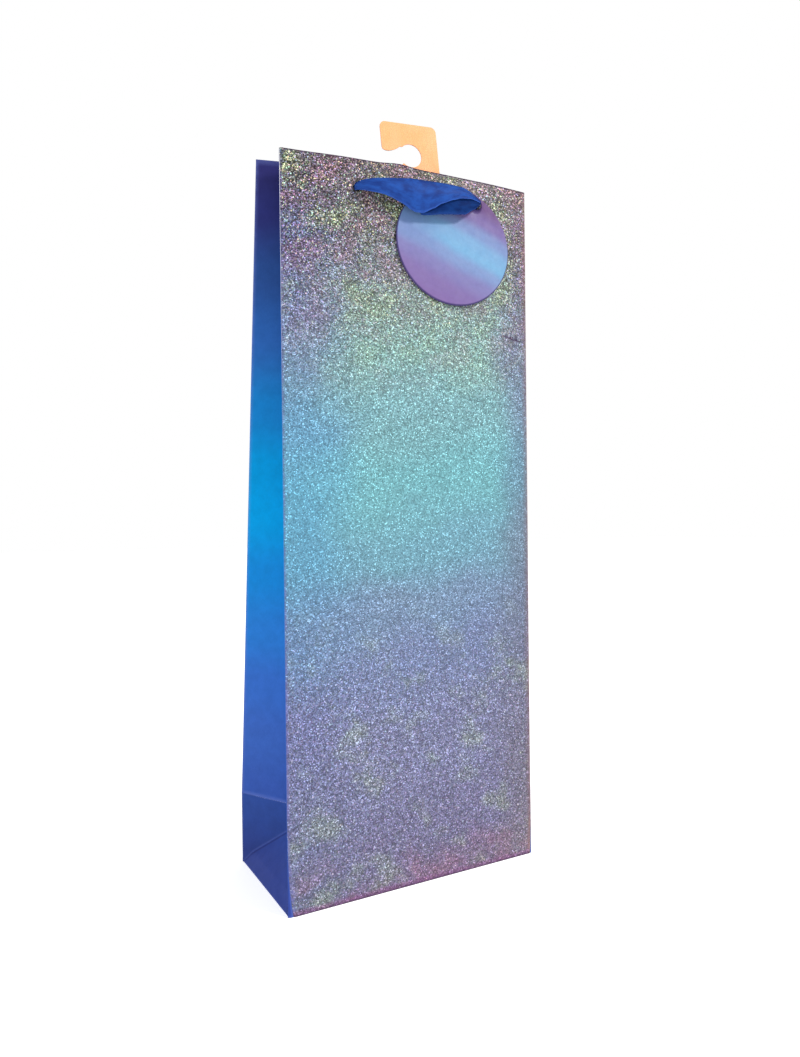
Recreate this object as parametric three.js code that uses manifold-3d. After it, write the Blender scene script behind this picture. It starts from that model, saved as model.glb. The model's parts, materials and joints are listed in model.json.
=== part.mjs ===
// A tall paper gift bag for a wine bottle, standing open at the base and pinched at the mouth.
// Millimetres, +Z up. The origin is the centre of the base, on the floor. The front faces -Y.
import * as THREE from 'three';
import { mergeVertices } from 'three/addons/utils/BufferGeometryUtils.js';
import Module from 'manifold-3d';

const wasm = await Module();
wasm.setup();

// ---- Driving dimensions -------------------------------------------------------------------

const BASE_WIDTH = 133;
const BASE_DEPTH = 74;
const PANEL_HEIGHT = 355;
const CREASE_HEIGHT = 36;         // the cross crease that lets the base fold flat
const PAPER = 0.3;
const GAP = 0.3;                  // clearance between pieces that touch
const CARD = 0.5;

// The standing bag: each mouth corner sits inside the base by its lean, and to the right by its shift.
const FRONT = { side: -1, leanLeft: 21.7, leanRight: 8.2, shift: 7.5, bow: 3.6, holeCentre: 2 };
const BACK = { side: 1, leanLeft: 35.9, leanRight: 46, shift: 0.8, bow: 2.5, holeCentre: 0 };
const FOLD_AT_CREASE = 18;        // how far the side folds reach inwards
const FOLD_AT_MOUTH = 31;

const HEM_DEPTH = 30;             // the top edge, turned in and glued
const HEM_EDGE = 0.5;             // the hem stops this far below the folded edge
const CARD_STRIP = 25;            // stiffening strip inside the hem
const CARD_EDGE = 1.5;
const STRIP_MARGIN = 0.05;        // share of the width left free at each end of hem and card

const HOLE_SPACING = 64;
const HOLE_DROP = 13.8;           // below the mouth edge
const HOLE_RADIUS = 2.5;

const RIBBON_WIDTH = 16;
const RIBBON_NECK = 4.4;          // its width where it is gathered into a hole
const RIBBON_THICKNESS = 0.5;
const RIBBON_BULGE = 6.2;
const RIBBON_SAG = 4;             // its middle hangs this far below the line of the holes
const RIBBON_END = 0.03;          // share of the ribbon's run that lies in the hole's mouth
const NECK_RADIUS = 1.7;
const KNOT_RADIUS = 3.5;
const KNOT_LENGTH = 5;

const TAG_RADIUS = 31.3;
const TAG_THICKNESS = 0.6;
const TAG_HOLE_OFFSET = 27.2;     // from the tag's centre to its hole
const TAG_HOLE_RADIUS = 2.7;
const TAG_TILT = 31;              // degrees, the centre hangs to the left of its hole
const TAG_TURN = 4;               // degrees, its left edge rests closer to the bowed wall
const TAG_STANDOFF = 2.4;         // at its hole

const TAB_WIDTH = 30.6;
const TAB_RISE = 24;              // above the mouth edge
const TAB_HIDDEN = 28;            // below the mouth edge, inside the bag
const TAB_THICKNESS = 0.5;
const TAB_CORNER = 3;
const TAB_HOLE_RADIUS = 5.9;
const TAB_HOLE_RISE = 7.8;
const TAB_TIP_RISE = 9.5;
const TAB_TILT = 4;               // degrees, anticlockwise from the front
const PAD_THICKNESS = 0.3;

const BOARD = { width: 124, depth: 70, thickness: 1, corner: 3 };
const FLAP = { front: 45, back: 50, side: 30, chamfer: 6 };

// ---- Derived sizes ------------------------------------------------------------------------

const HALF_WIDTH = BASE_WIDTH / 2;
const HALF_DEPTH = BASE_DEPTH / 2;
const LAYER = PAPER + GAP;
const WALL_RISE = PANEL_HEIGHT - CREASE_HEIGHT;
const CREASE_SPLIT = GAP / 2;     // each side of the cross crease
const EDGE_INSET = 1;             // side folds start this far inside a wall's outer face
const FOLD_SPLIT = 0.25;          // each side of a side fold's centre crease
const SIDE_CLEARANCE = 1.6;       // flaps stop this far inside a side, which leans over them
const CARD_START = PAPER + GAP;
const HEM_START = CARD_START + CARD + GAP;
const STACK = HEM_START + PAPER;  // wall, card and hem together
const HOLE_HEIGHT = PANEL_HEIGHT - HOLE_DROP;

// ---- Colours ------------------------------------------------------------------------------

const finish = (color, roughness, metalness = 0) => ({ color, roughness, metalness });
const GLITTER = finish(0x7c88ae, 0.45, 0.3);
const SATIN = finish(0x2450a4, 0.45);
const KRAFT = finish(0xeeeae2, 0.9);
const GREY_CARD = finish(0xb9b2a6, 0.95);
const RIBBON = finish(0x1f3f9c, 0.4);
const TAG_PRINT = finish(0x8a8cc8, 0.5);
const CLEAR = finish(0xf6d3ab, 0.15);

const bag = new THREE.Group();

function addPiece(name, geometry, look) {
  const mesh = new THREE.Mesh(geometry, new THREE.MeshStandardMaterial(look));
  mesh.name = name;
  bag.add(mesh);
  return mesh;
}

// ---- Solids -------------------------------------------------------------------------------

const range = (count) => Array.from({ length: count }, (_, index) => index);
const spread = (from, to, steps) => range(steps + 1).map((i) => from + ((to - from) * i) / steps);

function signedVolume(points, triangles) {
  let sum = 0;
  for (let i = 0; i < triangles.length; i += 3) {
    const [a, b, c] = [0, 1, 2].map((k) => points[triangles[i + k]]);
    sum += a.dot(b.clone().cross(c)) / 6;
  }
  return sum;
}

// A closed geometry from shared points, turned so that its faces point out.
function closedGeometry(points, triangles) {
  const wound = signedVolume(points, triangles) < 0 ? [...triangles].reverse() : triangles;
  const geometry = new THREE.BufferGeometry().setFromPoints(points);
  geometry.setIndex(wound);
  return geometry;
}

// The unit normal of a surface, on the side that `towards` points to.
function normalAt(pointAt, u, v, stepU, stepV, towards) {
  const alongU = pointAt(u + stepU, v).sub(pointAt(u - stepU, v));
  const alongV = pointAt(u, v + stepV).sub(pointAt(u, v - stepV));
  const normal = alongU.cross(alongV).normalize();
  return normal.dot(towards) < 0 ? normal.negate() : normal;
}

// A sheet of one thickness over the surface pointAt(u, v), starting `start` away from it.
function sheet(pointAt, us, vs, towards, start, thickness) {
  const stepU = (us.at(-1) - us[0]) / 1000;
  const stepV = (vs.at(-1) - vs[0]) / 1000;
  const points = [start, start + thickness].flatMap((offset) =>
    vs.flatMap((v) => us.map((u) => {
      const normal = normalAt(pointAt, u, v, stepU, stepV, towards);
      return pointAt(u, v).addScaledVector(normal, offset);
    })));
  const columns = us.length;
  const rows = vs.length;
  const at = (layer, row, column) => (layer * rows + row) * columns + column;
  const triangles = [];
  const quad = (a, b, c, d) => triangles.push(a, b, c, a, c, d);
  for (const row of range(rows - 1)) {
    for (const column of range(columns - 1)) {
      const [r, c] = [row + 1, column + 1];
      quad(at(0, row, column), at(0, row, c), at(0, r, c), at(0, r, column));
      quad(at(1, row, column), at(1, r, column), at(1, r, c), at(1, row, c));
    }
  }
  for (const column of range(columns - 1)) {
    const [c, last] = [column + 1, rows - 1];
    quad(at(0, 0, column), at(1, 0, column), at(1, 0, c), at(0, 0, c));
    quad(at(0, last, column), at(0, last, c), at(1, last, c), at(1, last, column));
  }
  for (const row of range(rows - 1)) {
    const [r, last] = [row + 1, columns - 1];
    quad(at(0, row, 0), at(0, r, 0), at(1, r, 0), at(1, row, 0));
    quad(at(0, row, last), at(1, row, last), at(1, r, last), at(0, r, last));
  }
  return closedGeometry(points, triangles);
}

function toManifold(geometry) {
  const bare = geometry.clone();
  bare.deleteAttribute('normal');
  bare.deleteAttribute('uv');
  const merged = mergeVertices(bare, 1e-5);
  const vertProperties = new Float32Array(merged.attributes.position.array);
  const triVerts = new Uint32Array(merged.index.array);
  return new wasm.Manifold(new wasm.Mesh({ numProp: 3, vertProperties, triVerts }));
}

function fromManifold(solid) {
  const mesh = solid.getMesh();
  const geometry = new THREE.BufferGeometry();
  geometry.setAttribute('position', new THREE.BufferAttribute(mesh.vertProperties, 3));
  geometry.setIndex(new THREE.BufferAttribute(mesh.triVerts, 1));
  return geometry;
}

// ---- The bag's walls ----------------------------------------------------------------------

// A wall's outer face: across runs 0 to 1 from left to right, height is measured along the paper.
function wallPoint(wall, across, height) {
  const x = BASE_WIDTH * (across - 0.5);
  if (height <= CREASE_HEIGHT) return new THREE.Vector3(x, wall.side * HALF_DEPTH, height);
  const up = (height - CREASE_HEIGHT) / WALL_RISE;
  const lean = THREE.MathUtils.lerp(wall.leanLeft, wall.leanRight, across);
  const rise = Math.sqrt(WALL_RISE ** 2 - lean ** 2 - wall.shift ** 2);
  const bow = wall.bow * 4 * across * (1 - across);
  return new THREE.Vector3(
    x + wall.shift * up,
    wall.side * (HALF_DEPTH - (lean - bow) * up),
    CREASE_HEIGHT + rise * up,
  );
}

const inwards = (wall) => new THREE.Vector3(0, -wall.side, 0);

function wallSheet(wall, acrosses, heights, start, thickness) {
  return sheet((u, v) => wallPoint(wall, u, v), acrosses, heights, inwards(wall), start, thickness);
}

// A frame on a wall: x along its width, y up the wall, z out of the bag (front) or into it (back).
function wallFrame(wall, across, height) {
  const step = 0.001;
  const origin = wallPoint(wall, across, height);
  const right = wallPoint(wall, across + step, height).sub(wallPoint(wall, across - step, height));
  const up = origin.clone().sub(wallPoint(wall, across, height - 1));
  right.normalize();
  const out = right.clone().cross(up).normalize();
  up.crossVectors(out, right);
  return { origin, right, up, out, matrix: new THREE.Matrix4().makeBasis(right, up, out) };
}

function placeOnWall(mesh, wall, across, height, offset) {
  const frame = wallFrame(wall, across, height);
  const inward = frame.out.clone().multiplyScalar(wall.side);
  mesh.quaternion.setFromRotationMatrix(frame.matrix);
  mesh.position.copy(frame.origin).addScaledVector(inward, offset);
}

const holeAcrosses = (wall) => [-1, 1].map(
  (sign) => (HALF_WIDTH + wall.holeCentre + (sign * HOLE_SPACING) / 2) / BASE_WIDTH);

// Cuts the two ribbon holes square through a layer of a wall.
function punched(geometry, wall) {
  let solid = toManifold(geometry);
  for (const across of holeAcrosses(wall)) {
    const frame = wallFrame(wall, across, HOLE_HEIGHT);
    const punch = new THREE.CylinderGeometry(HOLE_RADIUS, HOLE_RADIUS, 12, 24);
    punch.rotateX(Math.PI / 2);
    punch.applyMatrix4(frame.matrix);
    punch.translate(frame.origin.x, frame.origin.y, frame.origin.z);
    solid = solid.subtract(toManifold(punch));
  }
  return fromManifold(solid);
}

const ACROSS = spread(0, 1, 8);
const STRIP_ACROSS = spread(STRIP_MARGIN, 1 - STRIP_MARGIN, 8);
const HEM_BOTTOM = PANEL_HEIGHT - HEM_DEPTH;
const UPPER = [
  ...spread(CREASE_HEIGHT + CREASE_SPLIT, HEM_BOTTOM, 6),
  PANEL_HEIGHT - HEM_DEPTH / 2,
  PANEL_HEIGHT,
];

// One layer of the doubled top edge: a strip that hangs from just below the mouth.
function mouthStrip(wall, edge, depth, start, thickness) {
  const heights = spread(PANEL_HEIGHT - edge - depth, PANEL_HEIGHT - edge, 2);
  return punched(wallSheet(wall, STRIP_ACROSS, heights, start, thickness), wall);
}

function makeWalls() {
  const frontHeights = [0, CREASE_HEIGHT, ...UPPER.slice(1)];
  const lowerHeights = [0, CREASE_HEIGHT - CREASE_SPLIT];
  addPiece('front_panel', punched(wallSheet(FRONT, ACROSS, frontHeights, 0, PAPER), FRONT), GLITTER);
  addPiece('back_panel', punched(wallSheet(BACK, ACROSS, UPPER, 0, PAPER), BACK), GLITTER);
  addPiece('back_panel_lower', wallSheet(BACK, ACROSS, lowerHeights, 0, PAPER), GLITTER);
  for (const [name, wall] of [['front', FRONT], ['back', BACK]]) {
    const card = mouthStrip(wall, CARD_EDGE, CARD_STRIP, CARD_START, CARD);
    const hem = mouthStrip(wall, HEM_EDGE, HEM_DEPTH, HEM_START, PAPER);
    addPiece(`${name}_mouth_card`, card, GREY_CARD);
    addPiece(`${name}_mouth_hem`, hem, SATIN);
  }
  const seamHeights = spread(CREASE_HEIGHT + 2, HEM_BOTTOM - 2, 5);
  const seam = wallSheet(BACK, spread(0.05, 0.14, 2), seamHeights, LAYER, PAPER);
  addPiece('side_seam_flap', seam, SATIN);
}

// ---- The side folds -----------------------------------------------------------------------

// hand is -1 for the left side and 1 for the right.
const edgeAcross = (hand) => (hand < 0 ? 0 : 1);

// The centre crease of a side fold, midway between the walls.
function foldCrease(hand, height) {
  const up = (height - CREASE_HEIGHT) / WALL_RISE;
  const reach = THREE.MathUtils.lerp(FOLD_AT_CREASE, FOLD_AT_MOUTH, up);
  const x = hand * (HALF_WIDTH - reach) + FRONT.shift * up;
  const [front, back] = [FRONT, BACK].map((wall) =>
    wallPoint(wall, (x - wall.shift * up) / BASE_WIDTH + 0.5, height));
  return front.add(back).multiplyScalar(0.5).setX(x);
}

// Half a side fold: along runs 0 to 1 from the wall's edge to the centre crease.
function foldPoint(hand, wall, along, height) {
  const edge = wallPoint(wall, edgeAcross(hand), height);
  const crease = foldCrease(hand, height);
  edge.y -= wall.side * EDGE_INSET;
  crease.y += wall.side * FOLD_SPLIT;
  return edge.lerp(crease, along);
}

function foldSheet(hand, wall, alongs, heights, start) {
  const towards = new THREE.Vector3(-hand, wall.side, 0);
  const pointAt = (u, v) => foldPoint(hand, wall, u, v);
  return sheet(pointAt, alongs, heights, towards, start, PAPER);
}

// Below the cross crease a side is three flat facets that meet at the end of the centre crease.
function lowerSide(hand) {
  const x = hand * HALF_WIDTH;
  const [near, far] = [-1, 1].map((side) => side * (HALF_DEPTH - LAYER));
  const top = CREASE_HEIGHT - CREASE_SPLIT;
  const facets = [
    [x, near, 0],
    [x, far, 0],
    [x, far, top],
    [x - hand * FOLD_AT_CREASE, 0, top],
    [x, near, top],
  ].map((corner) => new THREE.Vector3(...corner));
  const inner = facets.map((p) => p.clone().setX(p.x - hand * PAPER));
  const faces = [0, 1, 3, 1, 2, 3, 0, 3, 4];
  const backs = faces.map((index) => index + facets.length).reverse();
  const rim = range(facets.length).flatMap((i) => {
    const next = (i + 1) % facets.length;
    const count = facets.length;
    return [i, i + count, next, next, i + count, next + count];
  });
  return closedGeometry([...facets, ...inner], [...faces, ...backs, ...rim]);
}

function makeSides() {
  const hemHeights = [HEM_BOTTOM, PANEL_HEIGHT - HEM_DEPTH / 2, PANEL_HEIGHT - HEM_EDGE];
  const hemAlongs = [0.4, 0.68, 0.96];
  for (const [sideName, hand] of [['left', -1], ['right', 1]]) {
    addPiece(`${sideName}_gusset_lower`, lowerSide(hand), SATIN);
    for (const [wallName, wall] of [['front', FRONT], ['back', BACK]]) {
      const half = foldSheet(hand, wall, [0, 0.2, ...hemAlongs, 1], UPPER, 0);
      const hem = foldSheet(hand, wall, hemAlongs, hemHeights, LAYER);
      addPiece(`${sideName}_gusset_${wallName}_half`, half, SATIN);
      addPiece(`${sideName}_gusset_${wallName}_hem`, hem, SATIN);
    }
  }
}

// ---- The base -----------------------------------------------------------------------------

function flatPiece(name, shape, thickness, z, look) {
  const geometry = new THREE.ExtrudeGeometry(shape, {
    depth: thickness,
    bevelEnabled: false,
    curveSegments: 6,
  });
  geometry.translate(0, 0, z);
  addPiece(name, geometry, look);
}

const outline = (corners) => new THREE.Shape(corners.map((c) => new THREE.Vector2(...c)));

// A glued flap across the base, folded in from the front or the back wall.
function crossFlap(side, depth) {
  const half = HALF_WIDTH - SIDE_CLEARANCE;
  const fold = side * (HALF_DEPTH - LAYER);
  const end = fold - side * depth;
  return outline([
    [-half, fold],
    [half, fold],
    [half, end + side * FLAP.chamfer],
    [half - FLAP.chamfer, end],
    [-half + FLAP.chamfer, end],
    [-half, end + side * FLAP.chamfer],
  ]);
}

// A side flap, folded in first, with its ends cut at 45 degrees by the fold.
function sideFlap(hand) {
  const fold = hand * (HALF_WIDTH - SIDE_CLEARANCE);
  const half = HALF_DEPTH - LAYER - GAP;
  const end = fold - hand * FLAP.side;
  return outline([
    [fold, -half],
    [fold, half],
    [end, half - FLAP.side],
    [end, FLAP.side - half],
  ]);
}

function roundedRectangle(width, depth, radius) {
  const shape = new THREE.Shape();
  const [x, y] = [width / 2 - radius, depth / 2 - radius];
  shape.absarc(x, y, radius, 0, Math.PI / 2);
  shape.absarc(-x, y, radius, Math.PI / 2, Math.PI);
  shape.absarc(-x, -y, radius, Math.PI, 1.5 * Math.PI);
  shape.absarc(x, -y, radius, 1.5 * Math.PI, 2 * Math.PI);
  shape.closePath();
  return shape;
}

function makeBase() {
  flatPiece('bottom_flap_front', crossFlap(-1, FLAP.front), PAPER, 0, SATIN);
  flatPiece('bottom_flap_back', crossFlap(1, FLAP.back), PAPER, LAYER, SATIN);
  flatPiece('bottom_flap_left', sideFlap(-1), PAPER, 2 * LAYER, SATIN);
  flatPiece('bottom_flap_right', sideFlap(1), PAPER, 2 * LAYER, SATIN);
  const board = roundedRectangle(BOARD.width, BOARD.depth, BOARD.corner);
  flatPiece('base_board', board, BOARD.thickness, 3 * LAYER, GREY_CARD);
}

// ---- Ribbons, tag and hang tab ------------------------------------------------------------

// Where a ribbon end leaves its hole, outside the bag.
function ribbonEnd(wall, across, standoff) {
  const frame = wallFrame(wall, across, HOLE_HEIGHT);
  return frame.origin.addScaledVector(frame.out, -wall.side * standoff);
}

// The ribbon between the two holes: it bulges out of the wall and opens to its full width.
function ribbonBand(wall, standoffs) {
  const ends = holeAcrosses(wall).map((across, i) => ribbonEnd(wall, across, standoffs[i]));
  const frame = wallFrame(wall, 0.5, HOLE_HEIGHT);
  const outward = frame.out.clone().multiplyScalar(-wall.side);
  const pointAt = (run, across) => {
    const bulge = RIBBON_BULGE * Math.sqrt(1 - (2 * run - 1) ** 2);
    const opening = Math.sin(Math.PI * run) ** 1.2;
    const width = THREE.MathUtils.lerp(RIBBON_NECK, RIBBON_WIDTH, opening);
    return ends[0].clone().lerp(ends[1], run)
      .addScaledVector(outward, bulge)
      .addScaledVector(frame.up, across * width - RIBBON_SAG * opening);
  };
  const runs = spread(RIBBON_END, 1 - RIBBON_END, 20);
  return sheet(pointAt, runs, [-0.5, 0, 0.5], outward, 0, RIBBON_THICKNESS);
}

// A gathered ribbon end through its hole, with its knot inside the bag, turned about +Y.
function knotProfile(standoff) {
  const seat = STACK + GAP;
  const profile = [
    [0, -standoff],
    [NECK_RADIUS, -standoff],
    [NECK_RADIUS, seat],
    [KNOT_RADIUS * 0.85, seat + KNOT_LENGTH * 0.1],
    [KNOT_RADIUS, seat + KNOT_LENGTH * 0.45],
    [KNOT_RADIUS * 0.8, seat + KNOT_LENGTH * 0.85],
    [0, seat + KNOT_LENGTH],
  ];
  return profile.map((p) => new THREE.Vector2(...p));
}

function makeRibbon(name, wall, standoffs) {
  addPiece(`${name}_ribbon`, ribbonBand(wall, standoffs), RIBBON);
  const up = new THREE.Vector3(0, 1, 0);
  holeAcrosses(wall).forEach((across, i) => {
    const frame = wallFrame(wall, across, HOLE_HEIGHT);
    const inward = frame.out.clone().multiplyScalar(wall.side);
    const knot = new THREE.LatheGeometry(knotProfile(standoffs[i] - GAP / 2), 16);
    const mesh = addPiece(`${name}_knot_${['left', 'right'][i]}`, knot, RIBBON);
    mesh.quaternion.setFromUnitVectors(up, inward);
    mesh.position.copy(frame.origin);
  });
}

function makeTag() {
  const tilt = THREE.MathUtils.degToRad(TAG_TILT);
  const centre = [-TAG_HOLE_OFFSET * Math.sin(tilt), -TAG_HOLE_OFFSET * Math.cos(tilt)];
  const disc = new THREE.Shape();
  disc.absarc(...centre, TAG_RADIUS, 0, 2 * Math.PI);
  const hole = new THREE.Path();
  hole.absarc(0, 0, TAG_HOLE_RADIUS, 0, 2 * Math.PI, true);
  disc.holes.push(hole);
  const geometry = new THREE.ExtrudeGeometry(disc, {
    depth: TAG_THICKNESS,
    bevelEnabled: false,
    curveSegments: 32,
  });
  const mesh = addPiece('gift_tag', geometry, TAG_PRINT);
  placeOnWall(mesh, FRONT, holeAcrosses(FRONT)[1], HOLE_HEIGHT, -TAG_STANDOFF);
  mesh.rotateY(-THREE.MathUtils.degToRad(TAG_TURN));
}

// The hang tab's outline: x from its centre, y up from the mouth edge. A peg enters the hook
// from the left, below the rounded tip.
function tabShape() {
  const half = TAB_WIDTH / 2;
  const shape = new THREE.Shape();
  const tipRight = -TAB_HOLE_RADIUS - 0.6;
  shape.moveTo(-half, -TAB_HIDDEN);
  shape.lineTo(half, -TAB_HIDDEN);
  shape.lineTo(half, TAB_RISE - TAB_CORNER);
  shape.absarc(half - TAB_CORNER, TAB_RISE - TAB_CORNER, TAB_CORNER, 0, Math.PI / 2);
  shape.absarc(TAB_CORNER - half, TAB_RISE - TAB_CORNER, TAB_CORNER, Math.PI / 2, Math.PI);
  shape.lineTo(-half, TAB_TIP_RISE + 1.5);
  shape.bezierCurveTo(
    -half + 0.2, TAB_TIP_RISE - 1.6,
    tipRight - 2.4, TAB_TIP_RISE - 0.4,
    tipRight + 1, TAB_HOLE_RISE + 4.2,
  );
  shape.absarc(0, TAB_HOLE_RISE, TAB_HOLE_RADIUS, 0.75 * Math.PI, -0.75 * Math.PI, true);
  shape.bezierCurveTo(-6, 1.4, -9, 1, -half, 1);
  shape.closePath();
  return shape;
}

function makeTab() {
  const padStart = STACK + GAP + 0.15;  // the tab is flat and the hem behind it is bowed
  const pad = roundedRectangle(TAB_WIDTH - 6, TAB_HIDDEN - 8, 2);
  const tilt = THREE.MathUtils.degToRad(TAB_TILT);
  const pieces = [
    ['hang_tab_pad', pad, PAD_THICKNESS, padStart, -TAB_HIDDEN / 2],
    ['hang_tab', tabShape(), TAB_THICKNESS, padStart + PAD_THICKNESS + GAP, 0],
  ];
  for (const [name, shape, thickness, start, rise] of pieces) {
    const geometry = new THREE.ExtrudeGeometry(shape, {
      depth: thickness,
      bevelEnabled: false,
      curveSegments: 10,
    });
    geometry.translate(0, rise, 0);
    geometry.rotateZ(tilt);
    const mesh = addPiece(name, geometry, CLEAR);
    placeOnWall(mesh, FRONT, 0.5, PANEL_HEIGHT, start + thickness);
  }
}

// How far each ribbon end stands off the wall: the right front one also passes through the tag.
const CLOSE_STANDOFF = 1.2;
const TAG_SIDE_STANDOFF = TAG_STANDOFF + TAG_THICKNESS + 1.2;

makeWalls();
makeSides();
makeBase();
makeRibbon('front', FRONT, [CLOSE_STANDOFF, TAG_SIDE_STANDOFF]);
makeRibbon('back', BACK, [CLOSE_STANDOFF, CLOSE_STANDOFF]);
makeTag();
makeTab();

export default bag;
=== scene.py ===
"""A tall paper gift bag for a wine bottle: glitter print, satin sides, ribbon handles, a round tag and a hang tab."""
import json
import math

import bpy
from mathutils import Matrix, Vector, kdtree, noise


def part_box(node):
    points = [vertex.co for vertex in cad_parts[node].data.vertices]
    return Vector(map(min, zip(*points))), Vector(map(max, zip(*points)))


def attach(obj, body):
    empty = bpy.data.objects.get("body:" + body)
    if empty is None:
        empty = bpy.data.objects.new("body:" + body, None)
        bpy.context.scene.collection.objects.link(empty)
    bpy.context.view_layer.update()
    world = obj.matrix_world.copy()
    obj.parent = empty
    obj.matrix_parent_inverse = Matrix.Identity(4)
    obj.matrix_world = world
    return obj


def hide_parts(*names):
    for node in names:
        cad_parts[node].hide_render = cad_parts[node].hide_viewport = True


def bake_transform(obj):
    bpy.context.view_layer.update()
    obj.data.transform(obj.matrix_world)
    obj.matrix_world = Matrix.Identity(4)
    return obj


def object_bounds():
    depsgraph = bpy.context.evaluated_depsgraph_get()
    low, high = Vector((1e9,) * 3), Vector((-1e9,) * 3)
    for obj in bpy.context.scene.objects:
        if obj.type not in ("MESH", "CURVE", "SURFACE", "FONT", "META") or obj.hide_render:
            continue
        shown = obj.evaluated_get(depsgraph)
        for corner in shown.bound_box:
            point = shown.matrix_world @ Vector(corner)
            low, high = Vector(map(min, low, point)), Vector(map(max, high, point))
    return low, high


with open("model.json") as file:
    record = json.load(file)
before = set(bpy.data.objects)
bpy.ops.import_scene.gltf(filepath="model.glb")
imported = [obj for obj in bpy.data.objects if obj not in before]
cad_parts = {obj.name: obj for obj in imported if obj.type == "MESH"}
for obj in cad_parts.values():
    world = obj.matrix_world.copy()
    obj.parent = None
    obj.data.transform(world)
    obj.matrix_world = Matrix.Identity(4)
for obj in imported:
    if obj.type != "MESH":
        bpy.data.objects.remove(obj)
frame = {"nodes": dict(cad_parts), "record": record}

MM = 0.001
CAD_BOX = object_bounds()
RECORD = frame["record"]

# ---- Sizes, in metres ---------------------------------------------------------------------

PAPER = 0.3 * MM
FOLD_RADIUS = 1.0 * MM        # of the paper where a wall turns into a side
CREASE_SPLIT = 0.15 * MM      # from the lower sides' top edge to the cross crease
STACK = 1.7 * MM              # wall, card and hem together
HALF_DEPTH = 37 * MM
SIDE_TUCK = 5 * MM            # of each side's lower end, behind its foot
HEM_DEPTH = 30 * MM
HEM_EDGE = 0.5 * MM
HEM_GAP = 0.75 * MM
HOLE_RADIUS = 2.5 * MM
HOLE_SPACING = 64 * MM
HOLE_HEIGHT = 340 * MM
HOLE_SIDES = 40
RIBBON_WIDTH = 16 * MM
RIBBON_BULGE = 7 * MM
RIBBON_THICKNESS = 0.4 * MM
TAG_THICKNESS = 0.6 * MM
TAG_HOLE_RADIUS = 2.7 * MM


# ---- Small helpers ------------------------------------------------------------------------

def lerp(a, b, t):
    return a + (b - a) * t


def smooth(low, high, value):
    t = min(max((value - low) / (high - low), 0.0), 1.0)
    return t * t * (3 - 2 * t)


def bell(value, centre, width):
    """1 at the centre, falling away to nothing on both sides."""
    return math.exp(-((value - centre) / width) ** 2)


def curve(value, points):
    """A smooth line through a few (place, height) pairs."""
    for (x0, y0), (x1, y1) in zip(points, points[1:]):
        if value <= x1:
            straight = min(max((value - x0) / (x1 - x0), 0), 1)
            return lerp(y0, y1, smooth(x0, x1, value) * 0.35 + 0.65 * straight)
    return points[-1][1]


def linear(red, green, blue):
    """An sRGB colour, 0 to 255, as linear light."""
    def channel(value):
        share = value / 255
        return share / 12.92 if share <= 0.04045 else ((share + 0.055) / 1.055) ** 2.4
    return (channel(red), channel(green), channel(blue), 1.0)


def dimmed(colour, shares):
    return (*(value * share for value, share in zip(colour, shares)), 1.0)


def grey(value):
    return (value, value, value, 1.0)


def steps(stops, step):
    """Places from the first stop to the last, no further apart than the step."""
    places = [stops[0]]
    for low, high in zip(stops, stops[1:]):
        count = max(1, math.ceil((high - low) / step))
        places += [low + (high - low) * i / count for i in range(1, count + 1)]
    return places


def wobble(x, y, scale, seed=0.0):
    return noise.noise(Vector((x / scale, y / scale, seed)))


def new_mesh(name, points, faces, materials, sheet=None, edge=None):
    """A smooth mesh; sheet is each point's place on the flat paper, edge how rubbed it is or, below 0, how much
    painted shade it carries.
    """
    mesh = bpy.data.meshes.new(name)
    mesh.from_pydata([tuple(p) for p in points], [], faces)
    for material in materials:
        mesh.materials.append(material)
    if sheet is not None:
        attribute = mesh.attributes.new("sheet", "FLOAT_VECTOR", "POINT")
        attribute.data.foreach_set("vector", [c for p in sheet for c in p])
    if edge is not None:
        attribute = mesh.attributes.new("edge", "FLOAT", "POINT")
        attribute.data.foreach_set("value", edge)
    mesh.update()
    for polygon in mesh.polygons:
        polygon.use_smooth = True
    obj = bpy.data.objects.new(name, mesh)
    bpy.context.scene.collection.objects.link(obj)
    return obj


def grid_faces(columns, rows, closed=False, flip=False, first=0):
    faces = []
    for row in range(rows - 1):
        for column in range(columns if closed else columns - 1):
            right = (column + 1) % columns
            face = (first + row * columns + column, first + row * columns + right,
                    first + (row + 1) * columns + right, first + (row + 1) * columns + column)
            faces.append(face[::-1] if flip else face)
    return faces


def grid(name, us, vs, point, materials, sheet, edge, flip=False):
    """A sheet through point(u, v)."""
    places = [(u, v) for v in vs for u in us]
    return new_mesh(name, [point(*p) for p in places], grid_faces(len(us), len(vs), flip=flip), materials,
                    [sheet(*p) for p in places], [edge(*p) for p in places])


def apply_modifiers(obj):
    bpy.context.view_layer.update()
    graph = bpy.context.evaluated_depsgraph_get()
    mesh = bpy.data.meshes.new_from_object(obj.evaluated_get(graph))
    obj.modifiers.clear()
    obj.data = mesh
    return obj


def thicken(obj, thickness, inner=1, rim=1, offset=-1.0, even=True):
    """Give a sheet its thickness; inner and rim are the material slots of its far face and its cut edges."""
    solid = obj.modifiers.new("paper", "SOLIDIFY")
    solid.thickness = thickness
    solid.offset = offset
    solid.material_offset = inner
    solid.material_offset_rim = rim
    solid.use_even_offset = even
    return apply_modifiers(obj)


def cutter(centre, axis, radius, depth):
    turn = Vector(axis).to_track_quat("Z", "Y").to_matrix()
    angles = [2 * math.pi * i / HOLE_SIDES for i in range(HOLE_SIDES)]
    points = [turn @ Vector((radius * math.cos(a), radius * math.sin(a), z)) + Vector(centre)
              for z in (-depth, depth) for a in angles]
    faces = grid_faces(HOLE_SIDES, 2, closed=True)
    faces += [tuple(range(HOLE_SIDES))[::-1], tuple(range(HOLE_SIDES, 2 * HOLE_SIDES))]
    return new_mesh("cutter", points, faces, [])


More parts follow.
